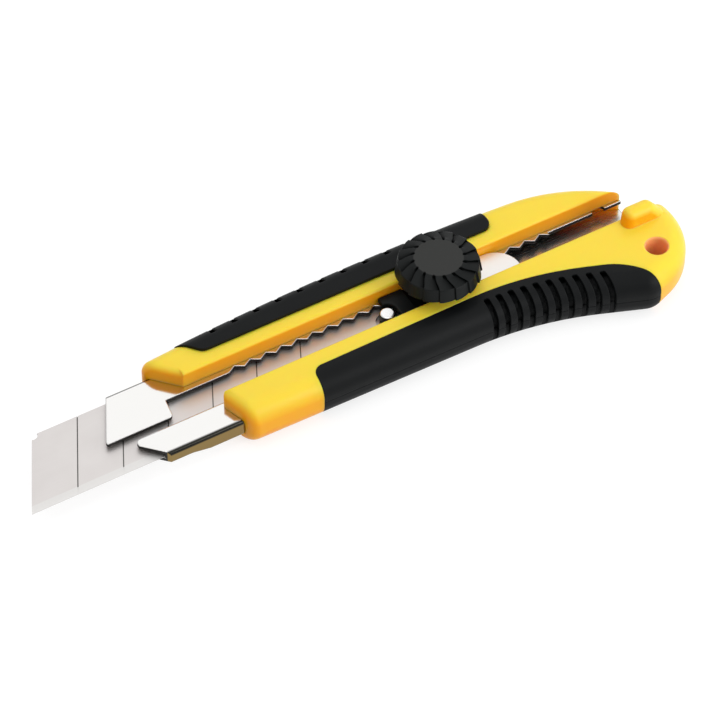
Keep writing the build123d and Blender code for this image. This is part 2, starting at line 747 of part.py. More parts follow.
# Lock wheel: lobed rim, coned top with a groove to each lobe, and a hub down to the washer
def lobed_rim(radius):
    """Draw the rim at one level: lobes like saw teeth, each falling away to the next one's step."""
    share = radius / wheel_radius
    lobe_turn = 360 / wheel_lobes
    for i in range(wheel_lobes):
        start, middle, end = [
            Vector(radius - fall * share, 0).rotate(Axis.Z, lobe_start + (i + turn) * lobe_turn)
            for fall, turn in ((0, 0), (lobe_mid_fall, 0.5), (lobe_step, 1))
        ]
        ThreePointArc(start, middle, end)
        Line(end, Vector(radius, 0).rotate(Axis.Z, lobe_start + (i + 1) * lobe_turn))


cone_drop = wheel_top_z - wheel_shoulder_z
cone_run = wheel_shoulder_radius - wheel_disc_radius
side_draft = (wheel_radius - wheel_shoulder_radius) / (wheel_shoulder_z - wheel_bottom_z)
with BuildPart() as lock_wheel:
    for level in (wheel_bottom_z, wheel_top_z):
        with BuildSketch(Plane((wheel_x, axis_y, level))):
            with BuildLine():
                lobed_rim(wheel_radius - (level - wheel_bottom_z) * side_draft)
            make_face()
    loft(ruled=True)
    with BuildSketch(Plane.XZ.offset(-axis_y)) as cone_cut:
        with BuildLine():
            Polyline(
                (wheel_x + wheel_disc_radius, wheel_top_z),
                (wheel_x + wheel_disc_radius + 2 * cone_run, wheel_top_z),
                (wheel_x + wheel_disc_radius + 2 * cone_run, wheel_top_z - 2 * cone_drop),
                close=True,
            )
        make_face()
    revolve(cone_cut.sketch, Axis((wheel_x, axis_y, 0), (0, 0, 1)), mode=Mode.SUBTRACT)
    groove_tilt = degrees(atan2(cone_run, cone_drop))
    with Locations((wheel_x, axis_y, wheel_shoulder_z)):
        with PolarLocations(wheel_shoulder_radius, wheel_lobes, start_angle=lobe_start):
            with Locations(Rotation(0, 0, lobe_groove_swirl)):
                Cylinder(lobe_groove_radius, 2 * hypot(cone_drop, cone_run),
                         rotation=(0, -groove_tilt, 0), mode=Mode.SUBTRACT)
    with BuildSketch(Plane.XZ.offset(-axis_y)) as hub_section:
        with BuildLine():
            Polyline(
                (wheel_x, hub_bottom_z),
                (wheel_x + hub_neck_radius, hub_bottom_z),
                (wheel_x + hub_neck_radius, handle_height + hub_rail_gap),
                (wheel_x + hub_radius, handle_height + hub_rail_gap),
                (wheel_x + hub_radius, wheel_bottom_z),
                (wheel_x, wheel_bottom_z),
                close=True,
            )
        make_face()
    revolve(hub_section.sketch, Axis((wheel_x, axis_y, 0), (0, 0, 1)))
    with BuildSketch(Plane.XY.offset(hub_bottom_z)) as nut_room:
        with Locations((wheel_x, axis_y)):
            Circle(nut_body_radius)
    extrude(nut_room.sketch, amount=nut_top_z - hub_bottom_z, mode=Mode.SUBTRACT)

# Brass nut moulded into the hub, its flange under the plate
with BuildPart() as wheel_nut:
    flange_z = plate_bottom_z - nut_flange_gap
    bore_top_z = blade_bottom_z + stud_length + stud_end_gap
    with BuildSketch(Plane.XZ.offset(-axis_y)) as nut_section:
        with BuildLine():
            Polyline(
                (wheel_x + stud_radius + run_gap, flange_z - nut_flange_thickness),
                (wheel_x + nut_flange_radius, flange_z - nut_flange_thickness),
                (wheel_x + nut_flange_radius, flange_z),
                (wheel_x + nut_neck_radius, flange_z),
                (wheel_x + nut_neck_radius, hub_bottom_z),
                (wheel_x + nut_body_radius, hub_bottom_z),
                (wheel_x + nut_body_radius, nut_top_z),
                (wheel_x, nut_top_z),
                (wheel_x, bore_top_z),
                (wheel_x + stud_radius + run_gap, bore_top_z),
                close=True,
            )
        make_face()
    revolve(nut_section.sketch, Axis((wheel_x, axis_y, 0), (0, 0, 1)))

# Washer between the hub and the plate
with BuildPart() as thrust_washer:
    with BuildSketch(Plane.XY.offset(plate_top_z)) as washer_plan:
        with Locations((wheel_x, axis_y)):
            Circle(washer_radius)
            Circle(nut_neck_radius, mode=Mode.SUBTRACT)
    extrude(washer_plan.sketch, amount=washer_thickness)

for label, piece in (
    ("handle_body", handle_body),
    ("edge_grip", edge_grip),
    ("spine_grip", spine_grip),
    ("blade_channel", blade_channel),
    ("blade", blade),
    ("carrier_plate", carrier_plate),
    ("blade_pin", blade_pin),
    ("clamp_stud", clamp_stud),
    ("lock_plate", lock_plate),
    ("rack_dog", rack_dog),
    ("guide_shoe", guide_shoe),
    ("lock_wheel", lock_wheel),
    ("wheel_nut", wheel_nut),
    ("thrust_washer", thrust_washer),
):
    piece.part.label = label
    export_step(piece.part, f"parts/{label}.step")
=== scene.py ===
import math

import bmesh
import bpy
from mathutils import Euler, Matrix, Vector
from mathutils.bvhtree import BVHTree


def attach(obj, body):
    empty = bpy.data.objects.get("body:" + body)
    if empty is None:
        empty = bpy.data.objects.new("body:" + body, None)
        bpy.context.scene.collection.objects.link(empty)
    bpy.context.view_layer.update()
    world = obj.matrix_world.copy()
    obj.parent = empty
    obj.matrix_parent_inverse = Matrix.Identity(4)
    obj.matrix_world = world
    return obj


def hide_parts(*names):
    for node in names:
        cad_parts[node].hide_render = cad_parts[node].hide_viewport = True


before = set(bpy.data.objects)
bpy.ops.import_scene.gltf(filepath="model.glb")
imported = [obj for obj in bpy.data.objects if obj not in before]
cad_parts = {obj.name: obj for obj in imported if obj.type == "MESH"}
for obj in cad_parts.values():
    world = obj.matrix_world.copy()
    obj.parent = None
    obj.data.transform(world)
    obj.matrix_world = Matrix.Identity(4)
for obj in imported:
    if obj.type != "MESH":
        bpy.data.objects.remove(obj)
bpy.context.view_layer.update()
scene = bpy.context.scene


# Handle body: one yellow ABS moulding with both rails, the hooked butt, its hang hole and the
# wheel stop. The steel channel is pushed in from the nose and the rubber is moulded over it.

mm = 0.001
merge_reach = 0.002 * mm           # points closer than this are one
painted_glow_reach = 3.6 * mm               # from the hang hole's axis to just past its wall
painted_lemon_way = (0.45, 0.0, 1.0)      # up, and a little towards the butt


def linear(colour):
    """Turn an sRGB hex colour into the linear RGBA that shaders take."""
    parts = [int(colour[i:i + 2], 16) / 255 for i in (1, 3, 5)]
    return [c / 12.92 if c <= 0.04045 else ((c + 0.055) / 1.055) ** 2.4 for c in parts] + [1.0]


def add_node(tree, kind, inputs=None, **settings):
    """Add one node, set its properties and fill or link its inputs."""
    made = tree.nodes.new(kind)
    for name, value in settings.items():
        setattr(made, name, value)
    for key, value in (inputs or {}).items():
        if isinstance(value, bpy.types.NodeSocket):
            tree.links.new(value, made.inputs[key])
        else:
            made.inputs[key].default_value = value
    return made


def start_material(name):
    """Make a material with an empty tree; return it, its tree and its Texture Coordinate node."""
    material = bpy.data.materials.new(name)
    material.use_nodes = True
    material.node_tree.nodes.clear()
    return material, material.node_tree, add_node(material.node_tree, "ShaderNodeTexCoord")


def merged_copy(node):
    """Copy a CAD node's mesh with its loose triangles joined and its stored normals dropped."""
    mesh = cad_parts[node].data.copy()
    form = bmesh.new()
    form.from_mesh(mesh)
    bmesh.ops.remove_doubles(form, verts=form.verts, dist=merge_reach)
    form.to_mesh(mesh)
    form.free()
    for layer in [a.name for a in mesh.attributes if a.name == "custom_normal"]:
        mesh.attributes.remove(mesh.attributes[layer])
    return mesh


def seat(mesh, node, material, body, smooth_angle=30):
    """Smooth a finished mesh, give it its material and let it ride in the CAD node's place."""
    mesh.materials.clear()
    mesh.materials.append(material)
    mesh.shade_smooth()
    mesh.set_sharp_from_angle(angle=math.radians(smooth_angle))
    piece = bpy.data.objects.new(node + "_finished", mesh)
    scene.collection.objects.link(piece)
    weights = piece.modifiers.new("normals", "WEIGHTED_NORMAL")
    weights.keep_sharp = True
    weights.weight = 100               # the largest faces alone set the normals
    even = bpy.data.meshes.new_from_object(piece.evaluated_get(bpy.context.evaluated_depsgraph_get()))
    piece.modifiers.clear()
    piece.data = even
    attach(piece, body)
    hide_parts(node)
    return piece


# Yellow ABS from a polished tool: a clear, slightly see-through colour under a soft gloss. Its colour is
# painted:
# lemon on faces turned up and towards the butt and, less so, on the underside, and a deeper orange on the
# other sides, most at the nose, as painted shade; a pink tone painted inside the hang hole stands in for
# glow.
abs_yellow, tree, place = start_material("moulded yellow ABS")
leaning = add_node(tree, "ShaderNodeVectorMath", {
    0: place.outputs["Normal"], 1: painted_lemon_way}, operation="DOT_PRODUCT")
upward = add_node(tree, "ShaderNodeMapRange", {
    "Value": leaning.outputs["Value"], "From Min": -0.3, "From Max": 0.85}, interpolation_type="SMOOTHSTEP")
facing = add_node(tree, "ShaderNodeSeparateXYZ", {0: place.outputs["Normal"]})
downward = add_node(tree, "ShaderNodeMapRange", {
    "Value": facing.outputs["Z"], "From Min": -0.8, "From Max": -0.97, "To Max": 0.6})
flat = add_node(tree, "ShaderNodeMath", {
    0: upward.outputs["Result"], 1: downward.outputs["Result"]}, operation="MAXIMUM")
level = add_node(tree, "ShaderNodeVectorMath", {
    0: place.outputs["Object"], 1: (1.0, 1.0, 0.0)}, operation="MULTIPLY")
from_hole = add_node(tree, "ShaderNodeVectorMath", {0: level.outputs[0]}, operation="LENGTH")
# Painted glow: inside the hang hole the colour is swapped for a pink tone, standing in for light coming
# through the plastic.
painted_hole_glow = add_node(tree, "ShaderNodeMath", {0: from_hole.outputs["Value"], 1: painted_glow_reach}, operation="LESS_THAN")
# Painted shade: the sides are painted a deeper orange, and faces turned up and towards the butt, and partly
# the underside, a paler lemon.
painted_side_shade = add_node(tree, "ShaderNodeMix", {
    "Factor": flat.outputs[0], "A": linear("#FFA80A"), "B": linear("#F2D540")}, data_type="RGBA")
tone = add_node(tree, "ShaderNodeMix", {
    "Factor": painted_hole_glow.outputs[0], "A": painted_side_shade.outputs["Result"], "B": linear("#FFB478")}, data_type="RGBA")
peel = add_node(tree, "ShaderNodeTexNoise", {
    "Vector": place.outputs["Object"], "Scale": 1 / (1.1 * mm), "Detail": 3.0})
rough = add_node(tree, "ShaderNodeMapRange", {"Value": peel.outputs["Fac"], "To Min": 0.27, "To Max": 0.37})
edge = add_node(tree, "ShaderNodeBevel", {"Radius": 0.9 * mm}, samples=8)
bump = add_node(tree, "ShaderNodeBump", {
    "Height": peel.outputs["Fac"], "Strength": 0.06, "Distance": 0.15 * mm, "Normal": edge.outputs["Normal"]})
surface = add_node(tree, "ShaderNodeBsdfPrincipled", {
    "Base Color": tone.outputs["Result"], "Roughness": rough.outputs["Result"],
    "Normal": bump.outputs["Normal"], "IOR": 1.53, "Specular IOR Level": 0.22,
    "Subsurface Weight": 0.55, "Subsurface Scale": 1.0 * mm, "Subsurface Radius": (3.2, 1.1, 0.15)})
add_node(tree, "ShaderNodeOutputMaterial", {"Surface": surface.outputs[0]})
seat(merged_copy("handle_body"), "handle_body", abs_yellow, "handle")


# Rubber grips: two pieces of black thermoplastic rubber moulded over the body. The one along the
# cutting-edge side is flush, with cross grooves at the heel; the one on the spine stands proud.

snap_reach = 0.001 * mm            # a cut this close to a point goes through it
parting_height, parting_width, parting_depth = 7.4 * mm, 0.34 * mm, 0.16 * mm
steepest = 0.3                     # upward part of the normal up to which a face counts as a side
recess_reach = 2.0 * mm            # walls closer than this shade a recess
ray_lift = 0.03 * mm
ray_tilts, ray_step = (25, 50, 72), 45      # degrees from the normal, and round it


def score_parting_line(mesh, height, width, depth):
    """Press a thin line into the sides at the level where the tool's halves met."""
    form = bmesh.new()
    form.from_mesh(mesh)
    for level in (height - width / 2, height, height + width / 2):
        bmesh.ops.bisect_plane(form, geom=form.verts[:] + form.edges[:] + form.faces[:], dist=snap_reach,
                               plane_co=(0, 0, level), plane_no=(0, 0, 1))
    form.normal_update()
    for vert in form.verts:
        if abs(vert.co.z - height) < 10 * snap_reach and abs(vert.normal.z) < steepest:
            vert.co -= vert.normal * depth
    form.to_mesh(mesh)
    form.free()
    return mesh


def mark_recesses(mesh, reach):
    """Store at every point how much of the space in front of it is filled, out to a short reach."""
    form = bmesh.new()
    form.from_mesh(mesh)
    form.normal_update()
    solid = BVHTree.FromBMesh(form)
    depth = form.verts.layers.float.new("recess")
    rays = [(math.radians(tilt), math.radians(turn))
            for tilt in ray_tilts for turn in range(0, 360, ray_step)]
    for vert in form.verts:
        side = vert.normal.orthogonal().normalized()
        cross = vert.normal.cross(side)
        start = vert.co + vert.normal * ray_lift
        blocked = 0
        for tilt, turn in rays:
            sideways = side * math.cos(turn) + cross * math.sin(turn)
            way = vert.normal * math.cos(tilt) + sideways * math.sin(tilt)
            blocked += solid.ray_cast(start, way, reach)[0] is not None
        vert[depth] = blocked / len(rays)
    form.to_mesh(mesh)
    form.free()
    return mesh


# Black rubber off a matt tool: nearly black, with a fine grain that spreads its highlights into a
# soft grey sheen on top. Nicks and grooves are painted dead black and lose their sheen, as painted shade.
grip_rubber, tree, place = start_material("overmoulded black rubber")
grain = add_node(tree, "ShaderNodeTexNoise", {
    "Vector": place.outputs["Object"], "Scale": 1 / (0.35 * mm), "Detail": 3.0})
cloud = add_node(tree, "ShaderNodeTexNoise", {
    "Vector": place.outputs["Object"], "Scale": 1 / (9 * mm), "Detail": 2.0})
tone = add_node(tree, "ShaderNodeMix", {
    "Factor": cloud.outputs["Fac"], "A": linear("#0A0C0D"), "B": linear("#101213")}, data_type="RGBA")
# Painted shade: how enclosed each point is darkens it to near black and takes away its specular.
cut = add_node(tree, "ShaderNodeAttribute", attribute_name="recess")
painted_recess_shade = add_node(tree, "ShaderNodeMapRange", {
    "Value": cut.outputs["Fac"], "From Min": 0.25, "From Max": 0.55}, interpolation_type="SMOOTHSTEP")
skin = add_node(tree, "ShaderNodeMix", {
    "Factor": painted_recess_shade.outputs["Result"], "A": tone.outputs["Result"], "B": linear("#030404")}, data_type="RGBA")
sheen = add_node(tree, "ShaderNodeMapRange", {"Value": painted_recess_shade.outputs["Result"], "To Min": 0.13, "To Max": 0.0})
rough = add_node(tree, "ShaderNodeMapRange", {"Value": grain.outputs["Fac"], "To Min": 0.40, "To Max": 0.62})
edge = add_node(tree, "ShaderNodeBevel", {"Radius": 0.35 * mm}, samples=6)
bump = add_node(tree, "ShaderNodeBump", {
    "Height": grain.outputs["Fac"], "Strength": 0.14, "Distance": 0.08 * mm,
    "Normal": edge.outputs["Normal"]})
surface = add_node(tree, "ShaderNodeBsdfPrincipled", {
    "Base Color": skin.outputs["Result"], "Roughness": rough.outputs["Result"],
    "Normal": bump.outputs["Normal"], "IOR": 1.5, "Specular IOR Level": sheen.outputs["Result"]})
add_node(tree, "ShaderNodeOutputMaterial", {"Surface": surface.outputs[0]})
for grip in ("edge_grip", "spine_grip"):
    lined = score_parting_line(merged_copy(grip), parting_height, parting_width, parting_depth)
    seat(mark_recesses(lined, recess_reach), grip, grip_rubber, "handle")


# Blade channel: stainless sheet folded over both edges of the blade, with a tongue at the nose and
# a rack cut along one flange. It is polished after pressing, so only its sheared edges stay dull.

channel_axis, channel_half = 19.4 * mm, 13.1 * mm     # across the knife, to inside the folded walls
inside_level = 8.0 * mm            # lower than the flanges, higher than the floor

# Polished stainless sheet: mirror-like outside, with faint rolling lines along its length. Its colour
# is painted dark round the folds and bronze on the folded walls, painted reflections of the room's dark
# and the plastic; it is duller on the floor inside, and duller and painted dark along the sheared edges.
polished_steel, tree, place = start_material("polished stainless sheet")
facing = add_node(tree, "ShaderNodeSeparateXYZ", {"Vector": place.outputs["Normal"]})
flat = add_node(tree, "ShaderNodeMath", {0: facing.outputs["Z"]}, operation="ABSOLUTE")
upright = add_node(tree, "ShaderNodeMapRange", {
    "Value": flat.outputs[0], "From Min": 0.08, "From Max": 0.3, "To Min": 1.0, "To Max": 0.0})
across = add_node(tree, "ShaderNodeSeparateXYZ", {"Vector": place.outputs["Object"]})
inside = add_node(tree, "ShaderNodeMath", {
    0: across.outputs["Y"], 1: channel_axis, 2: channel_half}, operation="COMPARE")
shear = add_node(tree, "ShaderNodeMath", {
    0: upright.outputs["Result"], 1: inside.outputs[0]}, operation="MULTIPLY")
stretch = add_node(tree, "ShaderNodeMapping", {
    "Vector": place.outputs["Object"], "Scale": (1 / (30 * mm), 1 / (0.4 * mm), 1 / (0.4 * mm))})
lines = add_node(tree, "ShaderNodeTexNoise", {
    "Vector": stretch.outputs["Vector"], "Scale": 1.0, "Detail": 4.0})
# Painted reflection: faces turning off flat at the folds are painted dark, and upright walls bronze, for the
# dark room and the yellow plastic that they mirror.
turned = add_node(tree, "ShaderNodeMapRange", {
    "Value": flat.outputs[0], "From Min": 0.99, "From Max": 0.90}, interpolation_type="SMOOTHSTEP")
painted_fold_dark = add_node(tree, "ShaderNodeMix", {
    "Factor": turned.outputs["Result"], "A": linear("#DEDDDB"), "B": linear("#34332F")}, data_type="RGBA")
wall = add_node(tree, "ShaderNodeMix", {
    "Factor": upright.outputs["Result"], "A": painted_fold_dark.outputs["Result"],
    "B": linear("#8A7448")}, data_type="RGBA")
# Sheared edges: rougher for real, and painted dark grey as the shade that lies along them.
tone = add_node(tree, "ShaderNodeMix", {
    "Factor": shear.outputs[0], "A": wall.outputs["Result"], "B": linear("#3A3938")}, data_type="RGBA")
gloss = add_node(tree, "ShaderNodeMapRange", {"Value": lines.outputs["Fac"], "To Min": 0.07, "To Max": 0.17})
dull = add_node(tree, "ShaderNodeMapRange", {"Value": lines.outputs["Fac"], "To Min": 0.20, "To Max": 0.32})
low = add_node(tree, "ShaderNodeMath", {0: across.outputs["Z"], 1: inside_level}, operation="LESS_THAN")
within = add_node(tree, "ShaderNodeMath", {0: low.outputs[0], 1: inside.outputs[0]}, operation="MULTIPLY")
faces = add_node(tree, "ShaderNodeMix", {
    "Factor": within.outputs[0], "A": gloss.outputs["Result"], "B": dull.outputs["Result"]})
rough = add_node(tree, "ShaderNodeMix", {"Factor": shear.outputs[0], "A": faces.outputs["Result"], "B": 0.5})
edge = add_node(tree, "ShaderNodeBevel", {"Radius": 0.55 * mm}, samples=8)
bump = add_node(tree, "ShaderNodeBump", {
    "Height": lines.outputs["Fac"], "Strength": 0.03, "Distance": 0.05 * mm,
    "Normal": edge.outputs["Normal"]})
surface = add_node(tree, "ShaderNodeBsdfPrincipled", {
    "Base Color": tone.outputs["Result"], "Metallic": 1.0, "Roughness": rough.outputs["Result"],
    "Normal": bump.outputs["Normal"]})
add_node(tree, "ShaderNodeOutputMaterial", {"Surface": surface.outputs[0]})
seat(merged_copy("blade_channel"), "blade_channel", polished_steel, "handle")


# Blade: hardened tool steel strip, ground flat, scored into seven segments and honed on both sides
# of its cutting edge. It hangs on the pin by the hole near its rear end.

bevel_top = 9.3 * mm               # across the knife, where the honed bevel ends
score_level, score_reach = 7.4 * mm, 0.15 * mm        # floor of the score lines, and room about it

# Ground tool steel: a pale, slightly warm grey with faint lines along the strip, brighter on the
# honed bevel with lines across it, drawn coarser than the real grit so that they show. The score
# lines, pressed in before hardening, are painted dark grey as the shade in their grooves.
blade_steel, tree, place = start_material("ground tool steel")
across = add_node(tree, "ShaderNodeSeparateXYZ", {"Vector": place.outputs["Object"]})
honed = add_node(tree, "ShaderNodeMath", {0: across.outputs["Y"], 1: bevel_top}, operation="LESS_THAN")
along = add_node(tree, "ShaderNodeMapping", {
    "Vector": place.outputs["Object"], "Scale": (1 / (14 * mm), 1 / (0.3 * mm), 1 / (0.3 * mm))})
grind = add_node(tree, "ShaderNodeTexNoise", {"Vector": along.outputs["Vector"], "Scale": 1.0, "Detail": 4.0})
over = add_node(tree, "ShaderNodeMapping", {
    "Vector": place.outputs["Object"], "Scale": (1 / (0.25 * mm), 1 / (6 * mm), 1 / (6 * mm))})
hone = add_node(tree, "ShaderNodeTexNoise", {"Vector": over.outputs["Vector"], "Scale": 1.0, "Detail": 3.0})
lines = add_node(tree, "ShaderNodeMix", {
    "Factor": honed.outputs[0], "A": grind.outputs["Fac"], "B": hone.outputs["Fac"]})
haze = add_node(tree, "ShaderNodeTexNoise", {
    "Vector": place.outputs["Object"], "Scale": 1 / (12 * mm), "Detail": 2.0})
flat = add_node(tree, "ShaderNodeMix", {
    "Factor": haze.outputs["Fac"], "A": linear("#CFCAC8"), "B": linear("#DAD6D4")}, data_type="RGBA")
ground = add_node(tree, "ShaderNodeMix", {
    "Factor": honed.outputs[0], "A": flat.outputs["Result"], "B": linear("#DAD8D6")}, data_type="RGBA")
# Painted shade: the score lines' floors are painted dark grey.
sunk = add_node(tree, "ShaderNodeMath", {
    0: across.outputs["Z"], 1: score_level, 2: score_reach}, operation="COMPARE")
above = add_node(tree, "ShaderNodeMath", {0: across.outputs["Y"], 1: bevel_top}, operation="GREATER_THAN")
painted_score_shade = add_node(tree, "ShaderNodeMath", {0: sunk.outputs[0], 1: above.outputs[0]}, operation="MULTIPLY")
tone = add_node(tree, "ShaderNodeMix", {
    "Factor": painted_score_shade.outputs[0], "A": ground.outputs["Result"], "B": linear("#5E5C5A")}, data_type="RGBA")
rough = add_node(tree, "ShaderNodeMapRange", {
    "Value": lines.outputs["Result"], "To Min": 0.38, "To Max": 0.50})
bump = add_node(tree, "ShaderNodeBump", {
    "Height": lines.outputs["Result"], "Strength": 0.05, "Distance": 0.05 * mm})
surface = add_node(tree, "ShaderNodeBsdfPrincipled", {
    "Base Color": tone.outputs["Result"], "Metallic": 1.0, "Roughness": rough.outputs["Result"],
    "Normal": bump.outputs["Normal"]})
add_node(tree, "ShaderNodeOutputMaterial", {"Surface": surface.outputs[0]})
seat(merged_copy("blade"), "blade", blade_steel, "slider")


# Carrier plate and clamp stud: a zinc-plated steel plate that slides under the blade, and the M5
# stud riveted into it by a square foot.

thread_pitch = 0.8 * mm

# Bright zinc plating: cool grey with a faint mottle, and fine rings up the stud for its thread,
# which is drawn at its real pitch.
zinc_steel, tree, place = start_material("zinc plated steel")
mottle = add_node(tree, "ShaderNodeTexVoronoi", {"Vector": place.outputs["Object"], "Scale": 1 / (0.9 * mm)})
tone = add_node(tree, "ShaderNodeMix", {
    "Factor": mottle.outputs["Distance"], "A": linear("#B4B7BC"), "B": linear("#C8CACD")}, data_type="RGBA")
height = add_node(tree, "ShaderNodeSeparateXYZ", {"Vector": place.outputs["Object"]})
turns = add_node(tree, "ShaderNodeMath", {
    0: height.outputs["Z"], 1: 2 * math.pi / thread_pitch}, operation="MULTIPLY")
thread = add_node(tree, "ShaderNodeMath", {0: turns.outputs[0]}, operation="SINE")
rough = add_node(tree, "ShaderNodeMapRange", {
    "Value": mottle.outputs["Distance"], "To Min": 0.26, "To Max": 0.40})
bump = add_node(tree, "ShaderNodeBump", {"Height": thread.outputs[0], "Strength": 0.5, "Distance": 0.2 * mm})
surface = add_node(tree, "ShaderNodeBsdfPrincipled", {
    "Base Color": tone.outputs["Result"], "Metallic": 1.0, "Roughness": rough.outputs["Result"],
    "Normal": bump.outputs["Normal"]})
add_node(tree, "ShaderNodeOutputMaterial", {"Surface": surface.outputs[0]})
seat(merged_copy("carrier_plate"), "carrier_plate", zinc_steel, "slider")
seat(merged_copy("clamp_stud"), "clamp_stud", zinc_steel, "slider")


# Blade pin: steel, riveted into the carrier so that it drives the blade by its hole. Its domed end is
# ground bright, and its shank is painted near black as a painted dark reflection.

# Steel: painted near black on the shank, a painted reflection, and bare bright metal on the ground end.
pin_steel, tree, place = start_material("steel with a painted dark shank")
facing = add_node(tree, "ShaderNodeSeparateXYZ", {"Vector": place.outputs["Normal"]})
bare = add_node(tree, "ShaderNodeMapRange", {"Value": facing.outputs["Z"], "From Min": 0.55, "From Max": 0.8})
speck = add_node(tree, "ShaderNodeTexNoise", {
    "Vector": place.outputs["Object"], "Scale": 1 / (0.5 * mm), "Detail": 4.0})
# Painted reflection: faces not turned up are painted near black.
tone = add_node(tree, "ShaderNodeMix", {
    "Factor": bare.outputs["Result"], "A": linear("#2A2A2B"), "B": linear("#E4E3E2")}, data_type="RGBA")
rough = add_node(tree, "ShaderNodeMapRange", {"Value": speck.outputs["Fac"], "To Min": 0.18, "To Max": 0.32})
surface = add_node(tree, "ShaderNodeBsdfPrincipled", {
    "Base Color": tone.outputs["Result"], "Metallic": 1.0, "Roughness": rough.outputs["Result"]})
add_node(tree, "ShaderNodeOutputMaterial", {"Surface": surface.outputs[0]})
seat(merged_copy("blade_pin"), "blade_pin", pin_steel, "slider")


# Lock plate: stainless, blanked from sheet and tumbled. It hangs on the wheel's nut and slides in
# the slot with the wheel.

painted_dark_end = -66.0 * mm             # along the knife, where the painted dark front begins

# Tumbled stainless: a pale, even satin that hardly mirrors the yellow walls, with a faint cloud.
# The front end, against the black dog and under the wheel, is painted near black, a painted reflection of the
# dark wheel.
satin_steel, tree, place = start_material("tumbled satin stainless")
scratch = add_node(tree, "ShaderNodeTexNoise", {
    "Vector": place.outputs["Object"], "Scale": 1 / (1.6 * mm), "Detail": 6.0, "Distortion": 1.5})
rough = add_node(tree, "ShaderNodeMapRange", {
    "Value": scratch.outputs["Fac"], "To Min": 0.40, "To Max": 0.52})
along = add_node(tree, "ShaderNodeSeparateXYZ", {"Vector": place.outputs["Object"]})
# Painted reflection: ahead of this point the plate is painted near black.
painted_dark_front = add_node(tree, "ShaderNodeMath", {0: along.outputs["X"], 1: painted_dark_end}, operation="LESS_THAN")
tone = add_node(tree, "ShaderNodeMix", {
    "Factor": painted_dark_front.outputs[0], "A": linear("#EBEAE8"), "B": linear("#161717")}, data_type="RGBA")
edge = add_node(tree, "ShaderNodeBevel", {"Radius": 0.15 * mm}, samples=6)
bump = add_node(tree, "ShaderNodeBump", {
    "Height": scratch.outputs["Fac"], "Strength": 0.02, "Distance": 0.05 * mm,
    "Normal": edge.outputs["Normal"]})
surface = add_node(tree, "ShaderNodeBsdfPrincipled", {
    "Base Color": tone.outputs["Result"], "Metallic": 1.0, "Roughness": rough.outputs["Result"],
    "Normal": bump.outputs["Normal"]})
add_node(tree, "ShaderNodeOutputMaterial", {"Surface": surface.outputs[0]})
seat(merged_copy("lock_plate"), "lock_plate", satin_steel, "lock")


# Lock wheel: a black nylon knob moulded round its brass nut. Sixteen lobes run round it like saw
# teeth: each falls away to a step at the next one, and each step starts in a round-ended pocket.

wheel_axis = (-61.6 * mm, 19.2 * mm, 0.0)
lobes = 16
lobe_turn = 2 * math.pi / lobes
lobe_start = math.radians(15.0)
swirl = math.radians(8.4)          # turn of each step between the disc and the rim
disc_radius, disc_level = 7.2 * mm, 25.3 * mm
rim_radius, rim_level = 11.8 * mm, 23.8 * mm
foot_radius, foot_level = 12.5 * mm, 19.45 * mm
hub_radius, hub_level = 6.5 * mm, 16.0 * mm
neck_radius, neck_level = 4.5 * mm, 11.95 * mm
bore_radius, bore_level = 3.7 * mm, 23.5 * mm
cone_slope = (disc_level - rim_level) / (rim_radius - disc_radius)
edge_round = 0.2 * mm              # rounding of the rim's upper edge
side_rows, side_run, side_drop = 6, 0.66 * mm, 3.75 * mm
top_step, rim_step = 0.32 * mm, 0.5 * mm
step_share = 0.045                 # part of a lobe that its step takes up
early_fall = 0.2                   # part of the rim's fall that is even; the rest gathers pace
pocket_width = 0.95 * mm
pocket_start = 0.1 * mm            # from the disc's edge out to the pocket's corners
pocket_round = 0.4 * mm            # depth of the pocket's round end
pocket_lip = 0.12 * mm             # half the width of the slope at that end
bank_in, bank_out = 0.3 * mm, 0.1 * mm      # slope along the pocket's long side
fade_start, fade_end = 0.3 * mm, 1.6 * mm   # from the disc's edge, where the pocket runs out


def ease(value, low, high):
    """Smooth ramp from 0 at low to 1 at high."""
    share = min(max((value - low) / (high - low), 0.0), 1.0)
    return share * share * (3 - 2 * share)


def top_fall(radius, share):
    """Depth of a lobe's top below the wheel's cone, at a share of the way to the next step."""
    left = (1 - share) * lobe_turn * radius
    bulge = 1 - min(abs(2 * left / pocket_width - 1), 1.0) ** 2
    begin = disc_radius + pocket_start - pocket_round * math.sqrt(bulge)
    pocket = 1 - ease(left, pocket_width - bank_in, pocket_width + bank_out)
    outward = ease(radius, disc_radius + fade_start, disc_radius + fade_end)
    depth = pocket * (1 - outward) + share ** 3 * outward
    return top_step * ease(radius, begin - pocket_lip, begin + pocket_lip) * depth


def rim_fall(share, wall):
    """How far a lobe's rim has come in; wall goes from 1 to 0 across the step that it starts at."""
    return rim_step * max(early_fall * share + (1 - early_fall) * share ** 2, wall)


# Columns across a lobe stand closest over its pocket, and rows on the top closest at the disc's edge.
shares = [0.0, 0.02, step_share]
shares += [0.08 + 0.07 * i for i in range(7)] + [0.54 + 0.023 * i for i in range(20)] + [1.0]
top_radii = [0.0, 2.5, 5.0, 6.4] + [6.7 + 0.09 * i for i in range(16)]
top_radii += [8.25 + 0.335 * i for i in range(11)]
side = [(rim_radius + out * edge_round, rim_level - down * edge_round)
        for out, down in ((-0.3, 0.2), (0.0, 0.5), (0.15, 1.0))]
shoulder_radius, shoulder_level = side[-1]
side += [(shoulder_radius + side_run * i / side_rows, shoulder_level - side_drop * i / side_rows)
         for i in range(1, side_rows + 1)]
side += [(foot_radius - inward * mm, foot_level + rise * mm)
         for inward, rise in ((0.0, 0.17), (0.1, 0.05), (0.4, 0.0))]
hub = [(hub_radius, foot_level), (hub_radius, hub_level), (neck_radius, hub_level),
       (neck_radius, neck_level), (bore_radius, neck_level), (bore_radius, bore_level), (0.0, bore_level)]
levels = [("top", radius * mm, disc_level) for radius in top_radii]
levels += [("side", *point) for point in side] + [("hub", *point) for point in hub]

